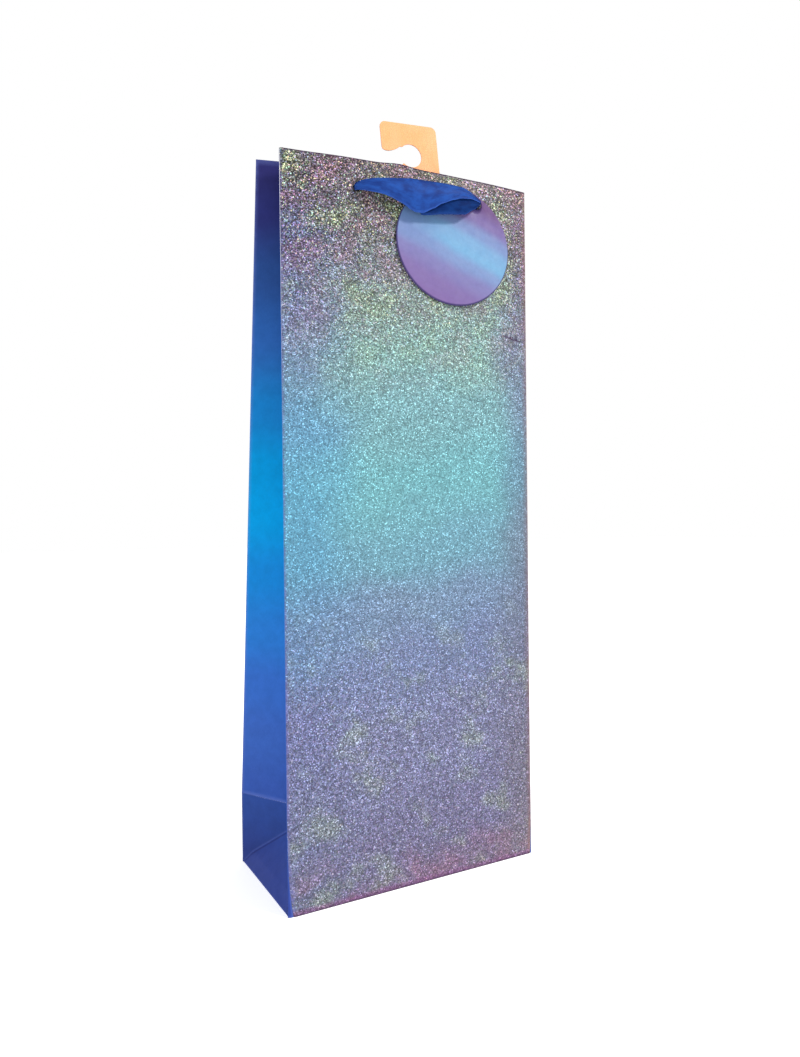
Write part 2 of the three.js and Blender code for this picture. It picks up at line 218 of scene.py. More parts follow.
def punch(obj, centres, axis, radius):
    """Round holes square through a piece; the print keeps its place on the new points."""
    tree = kdtree.KDTree(len(obj.data.vertices))
    for vertex in obj.data.vertices:
        tree.insert(vertex.co, vertex.index)
    tree.balance()
    before = [(Vector(place.vector), rub.value) for place, rub in
              zip(obj.data.attributes["sheet"].data, obj.data.attributes["edge"].data)]
    for centre in centres:
        tool = cutter(centre, axis, radius, 8 * MM)
        cut = obj.modifiers.new("hole", "BOOLEAN")
        cut.operation = "DIFFERENCE"
        cut.solver = "EXACT"
        cut.object = tool
        apply_modifiers(obj)
        bpy.data.objects.remove(tool)
    for vertex in obj.data.vertices:
        nearest, index, _ = tree.find(vertex.co)
        offset = vertex.co - nearest
        place, rub = before[index]
        obj.data.attributes["sheet"].data[vertex.index].vector = place + Vector((offset.x, offset.z, 0))
        obj.data.attributes["edge"].data[vertex.index].value = rub if offset.length < 0.01 * MM else 0.0


# ---- Node graphs --------------------------------------------------------------------------

class Graph:
    """A material's nodes, written as an expression."""

    def __init__(self, name, preview=grey(0.5), **uniform):
        self.material = bpy.data.materials.new(name)
        self.material.use_nodes = True
        self.tree = self.material.node_tree
        self.tree.nodes.clear()
        output = self.tree.nodes.new("ShaderNodeOutputMaterial")
        self.shader = self.tree.nodes.new("ShaderNodeBsdfPrincipled")
        self.tree.links.new(self.shader.outputs[0], output.inputs[0])
        self.material.diffuse_color = preview
        for key, value in uniform.items():
            self.shader.inputs[key.replace("_", " ")].default_value = value

    def put(self, socket, value):
        if isinstance(value, bpy.types.NodeSocket):
            self.tree.links.new(value, socket)
        else:
            socket.default_value = value

    def finish(self, colour, roughness, normal=None):
        self.put(self.shader.inputs["Base Color"], colour)
        self.put(self.shader.inputs["Roughness"], roughness)
        if normal is not None:
            self.put(self.shader.inputs["Normal"], normal)
        return self.material

    def node(self, kind, *values, **settings):
        made = self.tree.nodes.new(kind)
        for key, value in settings.items():
            setattr(made, key, value)
        for socket, value in zip(made.inputs, values):
            self.put(socket, value)
        return made

    def math(self, operation, *values):
        return self.node("ShaderNodeMath", *values, operation=operation).outputs[0]

    def times(self, a, b):
        return self.math("MULTIPLY", a, b)

    def plus(self, a, b):
        return self.math("ADD", a, b)

    def around(self, value, reach):
        """A value between 0 and 1, moved to lie around 0 and stretched."""
        return self.times(self.math("SUBTRACT", value, 0.5), reach)

    def spread(self, value, low, high, to_low=0.0, to_high=1.0, ease=True):
        kind = "SMOOTHSTEP" if ease else "LINEAR"
        return self.node("ShaderNodeMapRange", value, low, high, to_low, to_high,
                         interpolation_type=kind, clamp=True).outputs[0]

    def mix(self, factor, a, b, blend="MIX"):
        made = self.tree.nodes.new("ShaderNodeMix")
        made.data_type = "RGBA"
        made.blend_type = blend
        self.put(made.inputs[0], factor)
        self.put(made.inputs[6], a)
        self.put(made.inputs[7], b)
        return made.outputs[2]

    def shaded(self, colour, share):
        """The colour times one share for all its channels."""
        shade = self.node("ShaderNodeCombineXYZ", share, share, share).outputs[0]
        return self.mix(1.0, colour, shade, "MULTIPLY")

    def scaled(self, vector, scale):
        return self.node("ShaderNodeVectorMath", vector, scale, operation="MULTIPLY").outputs[0]

    def sheet(self):
        """The flat paper's coordinates, in millimetres."""
        return self.scaled(self.node("ShaderNodeAttribute", attribute_name="sheet").outputs["Vector"], (1000.0,) * 3)

    def edge(self):
        return self.node("ShaderNodeAttribute", attribute_name="edge").outputs["Fac"]

    def marks(self):
        """How rubbed the print is, and how much painted shade it carries."""
        edge = self.edge()
        return self.math("MAXIMUM", edge, 0.0), self.math("MAXIMUM", self.times(edge, -1.0), 0.0)

    def body(self):
        """Row-frame coordinates that ride with the piece, in millimetres."""
        return self.scaled(self.node("ShaderNodeTexCoord").outputs["Object"], (1000.0,) * 3)

    def split(self, vector):
        return self.node("ShaderNodeSeparateXYZ", vector).outputs

    def texture(self, kind, vector, size, **settings):
        made = self.node(kind)
        self.put(made.inputs["Vector"], vector)
        made.inputs["Scale"].default_value = 1.0 / size
        for key, value in settings.items():
            made.inputs[key].default_value = value
        return made

    def noise(self, vector, size, detail=3.0, rough=0.5):
        return self.texture("ShaderNodeTexNoise", vector, size, Detail=detail, Roughness=rough).outputs[0]

    def cells(self, vector, size):
        """Flakes of about one size: (random colour, distance from the middle)."""
        made = self.texture("ShaderNodeTexVoronoi", vector, size)
        return made.outputs["Color"], made.outputs["Distance"]

    def ramp(self, factor, stops, interpolation="EASE"):
        made = self.node("ShaderNodeValToRGB", factor)
        ramp = made.color_ramp
        ramp.interpolation = interpolation
        while len(ramp.elements) > 1:
            ramp.elements.remove(ramp.elements[-1])
        for index, (place, colour) in enumerate(stops):
            element = ramp.elements[0] if index == 0 else ramp.elements.new(place)
            element.position = place
            element.color = colour
        return made.outputs[0]

    def bump(self, height, distance, strength=1.0, normal=None):
        made = self.node("ShaderNodeBump")
        made.inputs["Strength"].default_value = strength
        made.inputs["Distance"].default_value = distance
        self.put(made.inputs["Height"], height)
        if normal is not None:
            self.put(made.inputs["Normal"], normal)
        return made.outputs[0]


# How much of the printed colour the studio's light gives back, for each print.
FRONT_GAIN = (0.48, 0.485, 0.55)
SIDE_GAIN = (0.80, 0.95, 0.93)
TAG_GAIN = (0.42, 0.49, 0.53)
FACET_SHADE = 0.76            # painted shade on the facets that turn in under the cross crease

# The prints' sizes, in millimetres.
PRINT_HEIGHT = 355.0
PRINT_SLANT = -0.13           # the bands of colour rise to the right
FLAKE_SIZE = 0.50
CLUSTER_SIZE = 1.1
PATCH_SIZE = 21.0
THREAD_SIZE = 0.28            # of the ribbon, along and across
WEFT_SIZE = 0.42


def ombre(stops, gain, height=PRINT_HEIGHT):
    """Stops of (millimetres up the print, sRGB colour) for a ramp."""
    return [(place / height, dimmed(linear(*colour), gain)) for place, colour in sorted(stops)]


FRONT_MIDDLE = [
    (0, (146, 127, 154)), (20, (136, 131, 162)), (70, (142, 144, 175)), (110, (138, 152, 185)),
    (135, (140, 167, 190)), (160, (134, 190, 199)), (195, (135, 204, 202)), (230, (142, 196, 193)),
    (262, (150, 192, 176)), (290, (152, 174, 162)), (312, (141, 148, 150)), (332, (126, 120, 118)),
    (355, (130, 116, 114)),
]
FRONT_LEFT = [
    (0, (128, 130, 150)), (40, (131, 134, 165)), (90, (134, 138, 177)), (130, (126, 158, 192)),
    (170, (117, 184, 206)), (195, (117, 190, 210)), (230, (121, 179, 204)), (262, (131, 164, 186)),
    (290, (133, 141, 174)), (312, (114, 118, 156)), (335, (113, 105, 124)), (355, (114, 99, 108)),
]
FRONT_RIGHT = [
    (0, (147, 136, 148)), (40, (137, 132, 150)), (90, (136, 138, 160)), (130, (133, 146, 166)),
    (160, (134, 158, 172)), (195, (126, 170, 183)), (230, (133, 160, 176)), (262, (134, 142, 164)),
    (290, (132, 128, 146)), (320, (126, 104, 120)), (355, (122, 106, 98)),
]
SIDE_PRINT = [
    (0, (54, 66, 140)), (38, (54, 80, 160)), (70, (58, 91, 172)), (95, (54, 98, 182)),
    (120, (42, 112, 192)), (150, (22, 124, 198)), (182, (0, 144, 208)), (205, (0, 138, 200)),
    (232, (22, 117, 185)), (270, (46, 92, 165)), (300, (44, 74, 138)), (330, (47, 48, 110)),
    (355, (46, 42, 96)),
]
TAG_PRINT = [
    (0, (150, 104, 174)), (16, (148, 110, 178)), (30, (146, 130, 192)), (42, (144, 164, 214)),
    (51, (136, 192, 232)), (59, (138, 186, 228)), (68, (142, 158, 210)), (79, (141, 108, 176)),
    (92, (122, 66, 136)), (100, (118, 62, 132)),
]
# How much the flakes differ in brightness, at shares of the print's height.
GRAIN = [(0.0, 0.50), (0.22, 0.56), (0.36, 0.40), (0.50, 0.30), (0.66, 0.44), (0.80, 0.75), (0.88, 1.08), (1.0, 1.3)]


def glitter_material():
    """Holographic film over an ombre print: flakes that each have their own hue and brightness."""
    g = Graph("glitter_film", preview=linear(130, 145, 180), Specular_IOR_Level=0.15)
    place = g.sheet()
    x, z, _ = g.split(place)
    slanted = g.plus(g.math("MULTIPLY_ADD", x, PRINT_SLANT, z), g.around(g.noise(place, 45.0, 2.0), 34.0))
    height = g.math("DIVIDE", slanted, PRINT_HEIGHT)
    middle, left, right = (g.ramp(height, ombre(stops, FRONT_GAIN))
                           for stops in (FRONT_MIDDLE, FRONT_LEFT, FRONT_RIGHT))
    over = g.plus(x, g.around(g.noise(place, 30.0, 2.0), 30.0))
    colour = g.mix(g.spread(over, -20.0, -62.0), middle, left)
    colour = g.mix(g.spread(over, 36.0, 64.0), colour, right)

    # Cast of the film: it turns green and gold in patches low down, and olive and pink at the top.
    flake, distance = g.cells(place, FLAKE_SIZE)
    pick, turn, tilt = g.split(flake)
    low = g.spread(z, 150.0, 95.0)
    high = g.spread(z, 215.0, 320.0)
    green = g.times(g.spread(g.noise(place, PATCH_SIZE, 3.0, 0.55), 0.50, 0.68), g.math("MAXIMUM", low, high))
    colour = g.mix(g.times(green, g.math("MULTIPLY_ADD", high, 0.16, 0.24)), colour, linear(132, 150, 98))
    rose = g.times(g.spread(g.noise(place, PATCH_SIZE, 2.0), 0.52, 0.36), g.plus(high, g.spread(z, 30.0, 4.0)))
    colour = g.mix(g.times(rose, 0.27), colour, linear(140, 92, 112))
    colour = g.mix(g.spread(z, 3.4, 1.2, 0.0, 0.5), colour, linear(140, 92, 138))

    # Each flake's own hue.
    hue = g.ramp(turn, [(0.0, linear(156, 96, 118)), (0.3, linear(104, 112, 168)), (0.55, linear(100, 154, 128)),
                        (0.8, linear(150, 150, 86)), (1.0, linear(160, 112, 98))], "LINEAR")
    strength = g.plus(g.math("MULTIPLY_ADD", high, 0.42, 0.05), g.times(low, 0.12))
    colour = g.mix(g.times(g.spread(tilt, 0.35, 0.9), strength), colour, hue)

    # Each flake's own brightness, livelier at the top and in the green patches, with painted glints on the brightest
    # few.
    contrast = g.ramp(g.math("DIVIDE", z, PRINT_HEIGHT), [(share, grey(value)) for share, value in GRAIN])
    contrast = g.math("MULTIPLY_ADD", green, 0.16, contrast)
    cluster, _, _ = g.split(g.cells(place, CLUSTER_SIZE)[0])
    lift = g.plus(g.around(pick, 2.0), g.around(cluster, 0.4))
    bright = g.math("EXPONENT", g.times(lift, g.times(contrast, 1.3)))
    bright = g.times(bright, g.math("MULTIPLY_ADD", contrast, -0.12, 0.98))
    painted_glint = g.times(g.math("GREATER_THAN", pick, 0.94), g.math("MULTIPLY_ADD", contrast, 0.3, 0.75))
    bright = g.times(g.plus(bright, painted_glint), g.spread(z, 235.0, 320.0, 1.0, 0.81))
    colour = g.shaded(colour, bright)
    # Painted glow: a reddish fringe of light along the front's right edge.
    colour = g.mix(g.spread(x, 62.0, 66.0, 0.0, 0.38), colour, linear(112, 76, 76))

    # Worn print along the folds and edges; painted shade in the dent and under the mouth, and darker along the base.
    rubbed, painted_shade = g.marks()
    worn = g.times(rubbed, g.spread(g.noise(place, 2.5, 3.0), 0.30, 0.60))
    rub = g.mix(g.spread(x, 0.0, 40.0), linear(104, 104, 168), linear(150, 112, 110))
    colour = g.mix(g.times(worn, g.spread(z, 300.0, 60.0, 0.4, 0.75)), colour, rub)
    # Painted shade: a dark purple where the edge attribute is below 0.
    colour = g.mix(g.times(painted_shade, 0.9), colour, linear(50, 24, 58))
    relief = g.plus(g.times(tilt, 0.7), distance)
    return g.finish(colour, g.spread(turn, 0.0, 1.0, 0.32, 0.55), g.bump(relief, 0.00012, 0.5))


def satin_material():
    """Satin film on the sides: a smooth ombre, with fine fibres and rubbed folds, and painted shade on the turned-in
    facets and under the diagonal folds.
    """
    g = Graph("satin_film", preview=linear(40, 90, 180), Specular_IOR_Level=0.03)
    place = g.sheet()
    _, z, facet = g.split(place)
    height = g.math("DIVIDE", g.plus(z, g.around(g.noise(place, 60.0, 2.0), 16.0)), PRINT_HEIGHT)
    colour = g.ramp(height, ombre(SIDE_PRINT, SIDE_GAIN))
    mottle = g.spread(g.noise(place, 6.0, 5.0, 0.6), 0.25, 0.75, 0.93, 1.07)
    fibre = g.spread(g.noise(g.scaled(place, (1.0, 0.35, 1.0)), 0.5, 3.0, 0.6), 0.2, 0.8, 0.95, 1.05)
    # Painted shade on the facets that turn in under the cross crease.
    turned = g.spread(facet, 0.0, 1000.0, 1.0, FACET_SHADE, ease=False)
    colour = g.shaded(colour, g.times(g.times(mottle, fibre), turned))
    rubbed, painted_shade = g.marks()
    worn = g.times(rubbed, g.spread(g.noise(place, 4.0, 3.0, 0.6), 0.2, 0.6, 0.45, 1.0))
    colour = g.mix(g.times(worn, 0.40), colour, linear(112, 128, 196))
    # Painted shade under the foot's diagonal folds, where the edge attribute is below 0.
    colour = g.mix(g.times(painted_shade, 0.7), colour, linear(30, 24, 62))
    soft = g.bump(g.noise(place, 14.0, 2.0), 0.0006, 0.35)
    return g.finish(colour, g.spread(g.noise(place, 9.0, 4.0, 0.6), 0.2, 0.8, 0.42, 0.58),
                    g.bump(g.noise(place, 0.35, 2.0), 0.00004, 0.5, soft))


def paper_material():
    """The uncoated white inside of the bag, with its fibres."""
    g = Graph("white_paper", preview=linear(238, 236, 232), Specular_IOR_Level=0.3)
    place = g.body()
    fibre = g.noise(g.scaled(place, (1.0, 1.0, 0.3)), 0.5, 4.0, 0.7)
    colour = g.mix(g.spread(g.noise(place, 12.0), 0.3, 0.7), linear(236, 234, 231), linear(245, 244, 242))
    colour = g.mix(g.times(g.spread(fibre, 0.55, 0.75), 0.35), colour, linear(214, 210, 204))
    return g.finish(colour, g.spread(fibre, 0.2, 0.8, 0.80, 0.95), g.bump(fibre, 0.00008, 0.4))


def board_material():
    """Uncoated grey board: pressed fibres and dark flecks."""
    base = linear(186, 180, 170)
    g = Graph("grey_board", preview=base, Specular_IOR_Level=0.25)
    place = g.body()
    fibre = g.noise(g.scaled(place, (0.4, 1.0, 1.0)), 0.7, 5.0, 0.7)
    colour = g.mix(g.spread(g.noise(place, 9.0), 0.3, 0.7, 0.0, 0.35), base, linear(226, 220, 210))
    colour = g.mix(g.times(g.spread(fibre, 0.56, 0.72), 0.5), colour, linear(140, 134, 126))
    return g.finish(colour, g.spread(fibre, 0.2, 0.8, 0.82, 0.97), g.bump(fibre, 0.00012, 0.5))


def ribbon_material(name, shade, gloss, sheen):
    """Satin ribbon: fine threads along its length, crossed by a looser weft, with a raised selvedge."""
    g = Graph(name, preview=linear(35, 60, 150), Specular_IOR_Level=gloss,
              Sheen_Weight=sheen, Sheen_Roughness=0.4, Anisotropic=0.35, Sheen_Tint=linear(120, 150, 235))

    # shade scales every dye colour; below 1 it is painted shade.
    def dye_with_painted_shade(*colour):
        return dimmed(linear(*colour), (shade,) * 3)

    place = g.sheet()
    along, across, _ = g.split(place)
    threads = g.math("SINE", g.times(across, 2 * math.pi / THREAD_SIZE))
    weft = g.math("SINE", g.times(along, 2 * math.pi / WEFT_SIZE))
    weave = g.plus(g.times(threads, 0.6), g.times(weft, 0.4))
    broad = g.noise(g.scaled(place, (0.35, 1.0, 1.0)), 3.0, 4.0, 0.6)
    slub = g.noise(g.scaled(place, (0.25, 2.0, 1.0)), 0.9, 3.0, 0.7)
    colour = g.mix(g.spread(broad, 0.32, 0.66), dye_with_painted_shade(18, 46, 110), dye_with_painted_shade(28, 72, 148))
    colour = g.mix(g.spread(slub, 0.50, 0.72, 0.0, 0.25), colour, dye_with_painted_shade(2, 22, 78))
    colour = g.mix(g.spread(weave, -1.0, 1.0, 0.0, 0.35), colour, dye_with_painted_shade(2, 22, 80))
    colour = g.mix(g.times(g.edge(), 0.55), colour, dye_with_painted_shade(58, 96, 184))
    return g.finish(colour, g.spread(broad, 0.2, 0.8, 0.42, 0.6),
                    g.bump(weave, 0.00003, 0.35, g.bump(broad, 0.0004, 0.4)))


def tag_material():
    """Coated card with a soft diagonal ombre, and painted shade along its cut edges."""
    g = Graph("tag_print", preview=linear(130, 140, 205), Specular_IOR_Level=0.3)
    place = g.sheet()
    x, z, _ = g.split(place)
    slope = g.plus(g.math("MULTIPLY_ADD", x, 0.42, z), g.around(g.noise(place, 22.0, 2.0), 5.0))
    colour = g.ramp(g.spread(slope, -36.0, 36.0, ease=False), ombre(TAG_PRINT, TAG_GAIN, 100.0))
    left = g.times(g.spread(x, 2.0, -26.0), g.spread(z, 30.0, 6.0, 0.35, 0.85))
    pale = dimmed(linear(132, 150, 206), TAG_GAIN)
    colour = g.mix(g.times(left, g.spread(slope, -16.0, -2.0)), colour, pale)
    colour = g.shaded(colour, g.spread(g.noise(place, 2.0, 5.0, 0.65), 0.25, 0.75, 0.95, 1.05))
    # Painted shade: a dark navy line on the card's cut edges and round its hole.
    colour = g.mix(g.times(g.edge(), 0.9), colour, linear(44, 34, 84))
    return g.finish(colour, g.spread(g.noise(place, 5.0), 0.2, 0.8, 0.40, 0.55),
                    g.bump(g.noise(place, 0.5), 0.00004, 0.4))


def plastic_material():
    """Tinted film, warm where light comes through, with faint scuffs."""
    g = Graph("clear_film", preview=linear(250, 215, 170), IOR=1.46, Transmission_Weight=0.3,
              Specular_IOR_Level=0.06)
    place = g.body()
    scuff = g.noise(g.scaled(place, (1.0, 1.0, 0.2)), 1.2, 4.0, 0.7)
    cloud = g.noise(place, 8.0)
    colour = g.mix(g.spread(cloud, 0.3, 0.7), linear(246, 176, 118), linear(248, 182, 128))
    colour = g.mix(g.times(g.edge(), 0.6), colour, linear(206, 128, 92))
    return g.finish(colour, g.spread(scuff, 0.45, 0.75, 0.22, 0.38),
                    g.bump(cloud, 0.0002, 0.2, g.bump(scuff, 0.00001, 0.2)))


def adhesive_material():
    g = Graph("glue", preview=linear(236, 224, 205), IOR=1.45, Transmission_Weight=0.3)
    cloud = g.noise(g.body(), 3.0, 4.0, 0.6)
    return g.finish(g.mix(g.spread(cloud, 0.3, 0.7), linear(232, 220, 200), linear(244, 236, 222)),
                    g.spread(cloud, 0.2, 0.8, 0.35, 0.6), g.bump(cloud, 0.0002, 0.5))


GLITTER = glitter_material()
SATIN = satin_material()
WHITE_PAPER = paper_material()
GREY_BOARD = board_material()
RIBBON = ribbon_material("ribbon_satin", 1.1, 0.10, 0.04)
# The layer behind: the reverse side's matte finish, with painted shade at half the dye's brightness.
RIBBON_BEHIND_PAINTED_SHADE = ribbon_material("ribbon_reverse_painted_shade", 0.5, 0.02, 0.0)
TAG_CARD = tag_material()
CLEAR = plastic_material()
GLUE = adhesive_material()


# ---- The bag's walls, measured on the CAD nodes -------------------------------------------

def node_points(name):
    return [v.co.copy() for v in frame["nodes"][name].data.vertices]


def furthest(points, x, y, z):
    return max(points, key=lambda p: p.x * x + p.y * y + p.z * z)


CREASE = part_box("left_gusset_lower")[1][2] + CREASE_SPLIT


class Wall:
    """A wall's outer face: across runs 0 to 1 from left to right, height is measured along the paper."""

    def __init__(self, upper, lower, side):
        top, low = node_points(upper), node_points(lower)
        self.side = side
        self.mouth = [furthest(top, hand, 2 * side, 1) for hand in (-1, 1)]
        self.base = [furthest(low, hand, 2 * side, -1) for hand in (-1, 1)]
        middle = (self.mouth[0].x + self.mouth[1].x) / 2
        crown = max((p for p in top if abs(p.x - middle) < 2 * MM and p.z > self.mouth[0].z - 3 * MM),
                    key=lambda p: p.y * side)
        self.bow = side * (crown.y - (self.mouth[0].y + self.mouth[1].y) / 2)
        self.width = (self.base[1] - self.base[0]).length
        self.height = CREASE + (self.mouth[0] - self.base[0] - Vector((0, 0, CREASE))).length

    def point(self, across, height):
        foot = self.base[0].lerp(self.base[1], across)
        if height <= CREASE:
            return foot + Vector((0, 0, height))
        foot.z += CREASE
        mouth = self.mouth[0].lerp(self.mouth[1], across)
        mouth.y += self.side * self.bow * 4 * across * (1 - across)
        return foot.lerp(mouth, (height - CREASE) / (self.height - CREASE))

    def out(self, across=0.5, height=HOLE_HEIGHT):
        """The way the wall faces: between its two ribbon holes, unless a place is given."""
        step = 0.002
        right = self.point(min(across + step, 1), height) - self.point(max(across - step, 0), height)
        up = self.point(across, height + MM) - self.point(across, height - MM)
        normal = right.cross(up).normalized()
        return normal if normal.y * self.side > 0 else -normal

    def up(self, across=0.5):
        """The way up the wall, just under its mouth."""
        return (self.point(across, self.height) - self.point(across, self.height - 5 * MM)).normalized()


FRONT = Wall("front_panel", "front_panel", -1)
BACK = Wall("back_panel", "back_panel_lower", 1)

TAB_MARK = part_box("hang_tab")[0][0] + FRONT.width / 2 + 1 * MM   # the mouth's edge rises a little beside the tab
ROLL_REACH = 16 * MM          # how far in from the front's edges its rolled corners shift the print
DENT_X = 124 * MM             # the middle of the short dent near the front's right edge
DENT_Z = 273.3 * MM


def rounding(inside):
    """How far the paper has turned away from the wall's face this far inside its edge."""
    if inside >= FOLD_RADIUS:
        return 0.0
    return FOLD_RADIUS - math.sqrt(max(FOLD_RADIUS ** 2 - (FOLD_RADIUS - inside) ** 2, 0.0))


def edge_mask(inside, width):
    return max(0.0, 1.0 - inside / width)


def corner_shift(hand, z):
    """How far the front wall's edge has rolled round from the corner, low down where the paper is bruised."""
    most = 2.2 * MM if hand < 0 else 1.0 * MM
    return 0.15 * MM + most * max(0.0, 1 - z / (31 * MM)) ** 2.4


def dent_height(x):
    """The short dent slopes a little."""
    return DENT_Z - 0.2 * (x - DENT_X)


def crease_relief(x, z):
    return -0.12 * MM * bell(z, CREASE, 0.8 * MM)


def front_relief(x, z):
    """Marks on the front: a short dent near the right edge and a soft one by the cross crease."""
    above = z - dent_height(x)
    dent = 0.35 * MM * bell(above, 2.5 * MM, 1.6 * MM) - 0.75 * MM * bell(above, 0, 1.1 * MM)
    return dent * bell(x, DENT_X, 4.5 * MM) + crease_relief(x, z)


def wall_sheet(name, wall, relief):
    """One printed wall, from the base to the mouth, with its edges turned into the sides."""
    width, height = wall.width, wall.height
    fine = [0, 0.12 * MM, 0.3 * MM, 0.6 * MM, FOLD_RADIUS, 1.8 * MM, 3 * MM]
    right = [width - f for f in fine]
    xs = fine[:-1] + steps([fine[-1], 112 * MM], 3 * MM)[:-1] + steps([112 * MM, right[-1]], 1 * MM) + right[-2::-1]
    zs = steps([0, 0.5 * MM, 1 * MM, 3 * MM, 8 * MM, CREASE - MM, CREASE, CREASE + MM, 268 * MM], 3 * MM)[:-1]
    zs += steps([268 * MM, 278 * MM], 0.4 * MM)[:-1]
    zs += steps([278 * MM, height - 4 * MM, height - MM, height], 3 * MM)

    def point(x, z):
        inside = min(x, width - x)
        rolled = 0.0
        if wall.side < 0:
            rolled = corner_shift(-1, z) * edge_mask(x, ROLL_REACH) - corner_shift(1, z) * edge_mask(
                width - x, ROLL_REACH)
        wave = 0.35 * MM * wobble(x, 0, 24 * MM, 12.0) + 1.0 * MM * bell(x, TAB_MARK, 7 * MM)
        p = wall.point((x + rolled) / width, z + wave * smooth(height - 12 * MM, height, z))
        p.y -= wall.side * rounding(inside)
        swell = 0.22 * MM * wobble(x, z, 60 * MM, 3.0 + wall.side) * min(1.0, inside / (12 * MM))
        p.y += wall.side * (swell + relief(x, z)) * smooth(0, 6 * MM, z)
        return p

    def flat(x, z):
        return (x - width / 2, z, 0)

    def edge(x, z):
        # Painted shade: a dark line along the short dent on the front wall.
        line = bell(z, dent_height(x), 0.5 * MM)
        line *= smooth(115.5 * MM, 118 * MM, x) * smooth(130.5 * MM, 128 * MM, x)
        if wall.side < 0 and line > 0.08:
            return -line
        side_edge = edge_mask(min(x, width - x), 1.1 * MM + 1.3 * MM * smooth(30 * MM, 12 * MM, z))
        # Painted shade in a thin band under the mouth's edge, and a dark band along the base.
        rim = max(edge_mask(height - z, 0.7 * MM), edge_mask(z, 1.7 * MM))
        return -rim if rim > 0 else side_edge

    obj = grid(name, xs, zs, point, [GLITTER, WHITE_PAPER], flat, edge, flip=wall.side > 0)
    return thicken(obj, PAPER, rim=0)


# ---- Pieces: the walls --------------------------------------------------------------------

def hole_centres(joint):
    """The two ribbon holes, from the joint that the ribbon turns on."""
    pivot, axis = Vector(joint["pos_m"]), Vector(joint["axis"]).normalized()
    towards = -1 if (axis.x > 0) == (pivot.x > 0) else 1
    far = pivot + axis * (towards * (HOLE_SPACING + 0.28 * MM))
    return sorted((pivot, far), key=lambda p: p.x)


JOINTS = {joint["name"]: joint for joint in RECORD["behaviour"]["joints"]}
FRONT_HOLES = hole_centres(JOINTS["front_ribbon_lift"])
BACK_HOLES = hole_centres(JOINTS["back_ribbon_lift"])


def make_walls():
    front = wall_sheet("front_wall", FRONT, front_relief)
    punch(front, FRONT_HOLES, FRONT.out(), HOLE_RADIUS)
    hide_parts("front_panel")
    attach(front, "bag")
    back = wall_sheet("back_wall_sheet", BACK, crease_relief)
    punch(back, BACK_HOLES, BACK.out(), HOLE_RADIUS)
    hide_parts("back_panel", "back_panel_lower")
    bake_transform(back)


def mouth_fold(name, wall, holes, nodes, body):
    """The top edge turned over its card: a rolled rim and the hem below it, inside the bag."""
    margin = 0.05
    radius = STACK / 2
    turns = 8
    rows = [("roll", i / turns) for i in range(turns + 1)]
    rows += [("hem", d) for d in steps([0.8 * MM, HEM_DEPTH], 3 * MM)]

    def point(across, row):
        kind, value = row
        top = wall.point(across, wall.height - radius)
        out = wall.out(across, wall.height - radius)
        up = wall.up(across)
        if kind == "roll":
            angle = math.pi * value
            return top + up * (radius * math.sin(angle)) - out * (radius - radius * math.cos(angle))
        settle = 0.15 * MM * wobble(across * 133 * MM, value, 20 * MM, 9.0)
        return top - up * (value - radius * 0.2) - out * (2 * radius - settle)

    def flat(across, row):
        kind, value = row
        down = value if kind == "hem" else 0.0
        return ((across - 0.5) * wall.width, wall.height - down, 0)

    def edge(across, row):
        kind, value = row
        # Painted shade over the rolled rim, darkest on its outer face; the hem's lower edge is rubbed.
        return -0.8 * (1 - value) if kind == "roll" else edge_mask(HEM_DEPTH - value, 0.8 * MM)

    obj = grid(name, steps([margin, 1 - margin], 0.02), rows, point, [GLITTER, WHITE_PAPER], flat, edge,
               flip=wall.side > 0)
    thicken(obj, PAPER)
    punch(obj, holes, wall.out(), HOLE_RADIUS)
    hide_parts(*nodes)
    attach(obj, body)


# ---- Pieces: the folded sides -------------------------------------------------------------

def side_name(hand):
    return "left" if hand < 0 else "right"


def side_crease(hand, height):
    """The inward crease of a side, measured on its two CAD halves."""
    low, high = SIDE_CREASES[hand]
    return low.lerp(high, (height - CREASE) / (FRONT.height - CREASE))


def measure_crease(hand):
    """The lower and the upper end of a side's inward crease."""
    name = side_name(hand)
    points = node_points(f"{name}_gusset_front_half") + node_points(f"{name}_gusset_back_half")
    ends = []
    for level in (min(p.z for p in points), max(p.z for p in points)):
        near = [p for p in points if abs(p.z - level) < 1.5 * MM]
        inner = min(near, key=lambda p: p.x * hand)
        tip = [p for p in near if abs(p.x - inner.x) < 1.2 * MM]
        ends.append(sum(tip, Vector()) / len(tip))
    return ends


SIDE_CREASES = {hand: measure_crease(hand) for hand in (-1, 1)}


def side_point(hand, along, height):
    """along runs 0 at the front wall, 1 at the crease, 2 at the back wall."""
    wall = FRONT if along <= 1 else BACK
    edge = wall.point(0.0 if hand < 0 else 1.0, height)
    edge.y -= wall.side * FOLD_RADIUS
    return edge.lerp(side_crease(hand, height), along if along <= 1 else 2 - along)


def side_surface(hand, along, z):
    """The side's printed face, a little swollen between its folds."""
    p = side_point(hand, along, max(z, CREASE))
    share = 1 - abs(along - 1)
    swell = math.sin(math.pi * share) * smooth(CREASE, CREASE + 12 * MM, z)
    ripple = 0.5 * MM * wobble(along * 30 * MM, z, 70 * MM, 5.0 + hand) * swell
    soften = 0.35 * MM * bell(share, 1, 0.03)
    p.x += hand * (0.35 * MM * swell + ripple + soften)
    return p


def side_alongs():
    half = [0, 0.02, 0.05, 0.1, 0.2, 0.35, 0.5, 0.65, 0.8, 0.9, 0.955, 0.985, 1.0]
    return half + [2 - a for a in half[-2::-1]]


